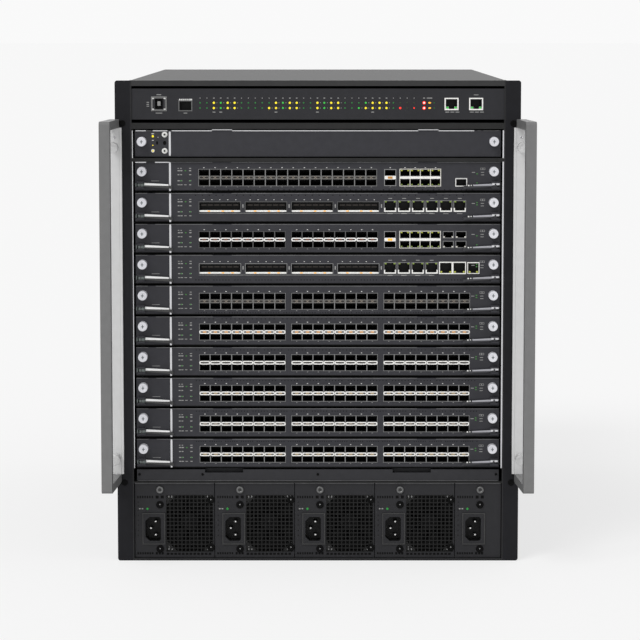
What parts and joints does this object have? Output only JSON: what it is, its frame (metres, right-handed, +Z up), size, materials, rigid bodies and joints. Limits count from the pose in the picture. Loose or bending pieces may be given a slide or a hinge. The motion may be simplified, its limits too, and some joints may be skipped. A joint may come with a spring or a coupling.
{
  "type": "modular chassis switch",
  "caption": "Tall rack-mount network switch chassis with sliding line cards, ejector levers, power modules with fans, a filter tray and side lifting handles.",
  "frame": {"origin": "centre of the bounding box's footprint, on the surface the chassis stands on", "axes": "+Z up, front faces -Y, +X to the viewer's right as seen from the front"},
  "size_m": [0.5074, 0.85, 0.5778],
  "materials": {
    "shell_paint": "satin charcoal powder coat",
    "cover_paint": "satin dark grey powder coat",
    "panel_paint": "satin charcoal faceplates",
    "handle_paint": "satin mid grey",
    "bright_plate": "zinc-plated",
    "bright_screw": "zinc-plated, knurled",
    "lever_metal": "die-cast, bright",
    "power_paint": "satin black",
    "fan_plastic": "matt black",
    "button_plastic": "white cap",
    "board": "green laminate"
  },
  "bodies": {
    "chassis": {"side_wall_left": "shell_paint", "side_wall_right": "shell_paint", "base_pan": "shell_paint", "top_cover": "cover_paint", "rear_panel": "shell_paint", "backplane": "board", "power_shelf": "shell_paint", "cage_shelf": "shell_paint", "status_shelf": "shell_paint", "status_panel": "panel_paint", "rack_ear_left": "shell_paint", "rack_ear_right": "shell_paint", "handle_left": "handle_paint", "handle_right": "handle_paint", "handle_plate_left": "bright_plate", "handle_plate_right": "bright_plate", "handle_screws": "bright_screw"},
    "management": {"management_module": "panel_paint"},
    "upper_button": {"button_upper": "button_plastic"},
    "lower_button": {"button_lower": "button_plastic"},
    "tray": {"filter_tray": "panel_paint"},
    "card_01": {"line_card_01": "panel_paint"},
    "lever_left_01": {"ejector_left_01": "lever_metal"},
    "lever_right_01": {"ejector_right_01": "lever_metal"},
    "card_02": {"line_card_02": "panel_paint"},
    "lever_left_02": {"ejector_left_02": "lever_metal"},
    "lever_right_02": {"ejector_right_02": "lever_metal"},
    "card_03": {"line_card_03": "panel_paint"},
    "lever_left_03": {"ejector_left_03": "lever_metal"},
    "lever_right_03": {"ejector_right_03": "lever_metal"},
    "card_04": {"line_card_04": "panel_paint"},
    "lever_left_04": {"ejector_left_04": "lever_metal"},
    "lever_right_04": {"ejector_right_04": "lever_metal"},
    "card_05": {"line_card_05": "panel_paint"},
    "lever_left_05": {"ejector_left_05": "lever_metal"},
    "lever_right_05": {"ejector_right_05": "lever_metal"},
    "card_06": {"line_card_06": "panel_paint"},
    "lever_left_06": {"ejector_left_06": "lever_metal"},
    "lever_right_06": {"ejector_right_06": "lever_metal"},
    "card_07": {"line_card_07": "panel_paint"},
    "lever_left_07": {"ejector_left_07": "lever_metal"},
    "lever_right_07": {"ejector_right_07": "lever_metal"},
    "card_08": {"line_card_08": "panel_paint"},
    "lever_left_08": {"ejector_left_08": "lever_metal"},
    "lever_right_08": {"ejector_right_08": "lever_metal"},
    "card_09": {"line_card_09": "panel_paint"},
    "lever_left_09": {"ejector_left_09": "lever_metal"},
    "lever_right_09": {"ejector_right_09": "lever_metal"},
    "card_10": {"line_card_10": "panel_paint"},
    "lever_left_10": {"ejector_left_10": "lever_metal"},
    "lever_right_10": {"ejector_right_10": "lever_metal"},
    "power_1": {"power_module_1": "power_paint"},
    "power_2": {"power_module_2": "power_paint"},
    "power_3": {"power_module_3": "power_paint"},
    "power_4": {"power_module_4": "power_paint"},
    "power_5": {"power_module_5": "power_paint"},
    "fan_1": {"fan_rotor_1": "fan_plastic"},
    "fan_2": {"fan_rotor_2": "fan_plastic"},
    "fan_3": {"fan_rotor_3": "fan_plastic"},
    "fan_4": {"fan_rotor_4": "fan_plastic"}
  },
  "joints": [
    {"name": "management_slide", "type": "slide", "parent": "chassis", "child": "management", "axis": [0, -1, 0], "range_m": [0, 0.34]},
    {"name": "upper_button_press", "type": "slide", "parent": "management", "child": "upper_button", "axis": [0, 1, 0], "range_m": [0, 0.001], "stiffness_N_per_m": 300},
    {"name": "lower_button_press", "type": "slide", "parent": "management", "child": "lower_button", "axis": [0, 1, 0], "range_m": [0, 0.001], "stiffness_N_per_m": 300},
    {"name": "tray_slide", "type": "slide", "parent": "chassis", "child": "tray", "axis": [0, -1, 0], "range_m": [0, 0.34]},
    {"name": "card_01_slide", "type": "slide", "parent": "chassis", "child": "card_01", "axis": [0, -1, 0], "range_m": [0, 0.34]},
    {"name": "lever_left_01_turn", "type": "hinge", "parent": "card_01", "child": "lever_left_01", "pos_m": [-0.21145, -0.3375, 0.4539], "axis": [0, 0, -1], "range_deg": [0, 75]},
    {"name": "lever_right_01_turn", "type": "hinge", "parent": "card_01", "child": "lever_right_01", "pos_m": [0.21145, -0.3375, 0.4539], "axis": [0, 0, 1], "range_deg": [0, 75]},
    {"name": "card_02_slide", "type": "slide", "parent": "chassis", "child": "card_02", "axis": [0, -1, 0], "range_m": [0, 0.34]},
    {"name": "lever_left_02_turn", "type": "hinge", "parent": "card_02", "child": "lever_left_02", "pos_m": [-0.21145, -0.3375, 0.41687], "axis": [0, 0, -1], "range_deg": [0, 75]},
    {"name": "lever_right_02_turn", "type": "hinge", "parent": "card_02", "child": "lever_right_02", "pos_m": [0.21145, -0.3375, 0.41687], "axis": [0, 0, 1], "range_deg": [0, 75]},
    {"name": "card_03_slide", "type": "slide", "parent": "chassis", "child": "card_03", "axis": [0, -1, 0], "range_m": [0, 0.34]},
    {"name": "lever_left_03_turn", "type": "hinge", "parent": "card_03", "child": "lever_left_03", "pos_m": [-0.21145, -0.3375, 0.37984], "axis": [0, 0, -1], "range_deg": [0, 75]},
    {"name": "lever_right_03_turn", "type": "hinge", "parent": "card_03", "child": "lever_right_03", "pos_m": [0.21145, -0.3375, 0.37984], "axis": [0, 0, 1], "range_deg": [0, 75]},
    {"name": "card_04_slide", "type": "slide", "parent": "chassis", "child": "card_04", "axis": [0, -1, 0], "range_m": [0, 0.34]},
    {"name": "lever_left_04_turn", "type": "hinge", "parent": "card_04", "child": "lever_left_04", "pos_m": [-0.21145, -0.3375, 0.34281], "axis": [0, 0, -1], "range_deg": [0, 75]},
    {"name": "lever_right_04_turn", "type": "hinge", "parent": "card_04", "child": "lever_right_04", "pos_m": [0.21145, -0.3375, 0.34281], "axis": [0, 0, 1], "range_deg": [0, 75]},
    {"name": "card_05_slide", "type": "slide", "parent": "chassis", "child": "card_05", "axis": [0, -1, 0], "range_m": [0, 0.34]},
    {"name": "lever_left_05_turn", "type": "hinge", "parent": "card_05", "child": "lever_left_05", "pos_m": [-0.21145, -0.3375, 0.30578], "axis": [0, 0, -1], "range_deg": [0, 75]},
    {"name": "lever_right_05_turn", "type": "hinge", "parent": "card_05", "child": "lever_right_05", "pos_m": [0.21145, -0.3375, 0.30578], "axis": [0, 0, 1], "range_deg": [0, 75]},
    {"name": "card_06_slide", "type": "slide", "parent": "chassis", "child": "card_06", "axis": [0, -1, 0], "range_m": [0, 0.34]},
    {"name": "lever_left_06_turn", "type": "hinge", "parent": "card_06", "child": "lever_left_06", "pos_m": [-0.21145, -0.3375, 0.26875], "axis": [0, 0, -1], "range_deg": [0, 75]},
    {"name": "lever_right_06_turn", "type": "hinge", "parent": "card_06", "child": "lever_right_06", "pos_m": [0.21145, -0.3375, 0.26875], "axis": [0, 0, 1], "range_deg": [0, 75]},
    {"name": "card_07_slide", "type": "slide", "parent": "chassis", "child": "card_07", "axis": [0, -1, 0], "range_m": [0, 0.34]},
    {"name": "lever_left_07_turn", "type": "hinge", "parent": "card_07", "child": "lever_left_07", "pos_m": [-0.21145, -0.3375, 0.23172], "axis": [0, 0, -1], "range_deg": [0, 75]},
    {"name": "lever_right_07_turn", "type": "hinge", "parent": "card_07", "child": "lever_right_07", "pos_m": [0.21145, -0.3375, 0.23172], "axis": [0, 0, 1], "range_deg": [0, 75]},
    {"name": "card_08_slide", "type": "slide", "parent": "chassis", "child": "card_08", "axis": [0, -1, 0], "range_m": [0, 0.34]},
    {"name": "lever_left_08_turn", "type": "hinge", "parent": "card_08", "child": "lever_left_08", "pos_m": [-0.21145, -0.3375, 0.19469], "axis": [0, 0, -1], "range_deg": [0, 75]},
    {"name": "lever_right_08_turn", "type": "hinge", "parent": "card_08", "child": "lever_right_08", "pos_m": [0.21145, -0.3375, 0.19469], "axis": [0, 0, 1], "range_deg": [0, 75]},
    {"name": "card_09_slide", "type": "slide", "parent": "chassis", "child": "card_09", "axis": [0, -1, 0], "range_m": [0, 0.34]},
    {"name": "lever_left_09_turn", "type": "hinge", "parent": "card_09", "child": "lever_left_09", "pos_m": [-0.21145, -0.3375, 0.15766], "axis": [0, 0, -1], "range_deg": [0, 75]},
    {"name": "lever_right_09_turn", "type": "hinge", "parent": "card_09", "child": "lever_right_09", "pos_m": [0.21145, -0.3375, 0.15766], "axis": [0, 0, 1], "range_deg": [0, 75]},
    {"name": "card_10_slide", "type": "slide", "parent": "chassis", "child": "card_10", "axis": [0, -1, 0], "range_m": [0, 0.34]},
    {"name": "lever_left_10_turn", "type": "hinge", "parent": "card_10", "child": "lever_left_10", "pos_m": [-0.21145, -0.3375, 0.12063], "axis": [0, 0, -1], "range_deg": [0, 75]},
    {"name": "lever_right_10_turn", "type": "hinge", "parent": "card_10", "child": "lever_right_10", "pos_m": [0.21145, -0.3375, 0.12063], "axis": [0, 0, 1], "range_deg": [0, 75]},
    {"name": "power_1_slide", "type": "slide", "parent": "chassis", "child": "power_1", "axis": [0, -1, 0], "range_m": [0, 0.3]},
    {"name": "power_2_slide", "type": "slide", "parent": "chassis", "child": "power_2", "axis": [0, -1, 0], "range_m": [0, 0.3]},
    {"name": "power_3_slide", "type": "slide", "parent": "chassis", "child": "power_3", "axis": [0, -1, 0], "range_m": [0, 0.3]},
    {"name": "power_4_slide", "type": "slide", "parent": "chassis", "child": "power_4", "axis": [0, -1, 0], "range_m": [0, 0.3]},
    {"name": "power_5_slide", "type": "slide", "parent": "chassis", "child": "power_5", "axis": [0, -1, 0], "range_m": [0, 0.3]},
    {"name": "fan_1_spin", "type": "hinge", "parent": "power_1", "child": "fan_1", "pos_m": [-0.15475, -0.3255, 0.0449], "axis": [0, 1, 0], "continuous": true},
    {"name": "fan_2_spin", "type": "hinge", "parent": "power_2", "child": "fan_2", "pos_m": [-0.05825, -0.3255, 0.0449], "axis": [0, 1, 0], "continuous": true},
    {"name": "fan_3_spin", "type": "hinge", "parent": "power_3", "child": "fan_3", "pos_m": [0.03825, -0.3255, 0.0449], "axis": [0, 1, 0], "continuous": true},
    {"name": "fan_4_spin", "type": "hinge", "parent": "power_4", "child": "fan_4", "pos_m": [0.13475, -0.3255, 0.0449], "axis": [0, 1, 0], "continuous": true}
  ]
}
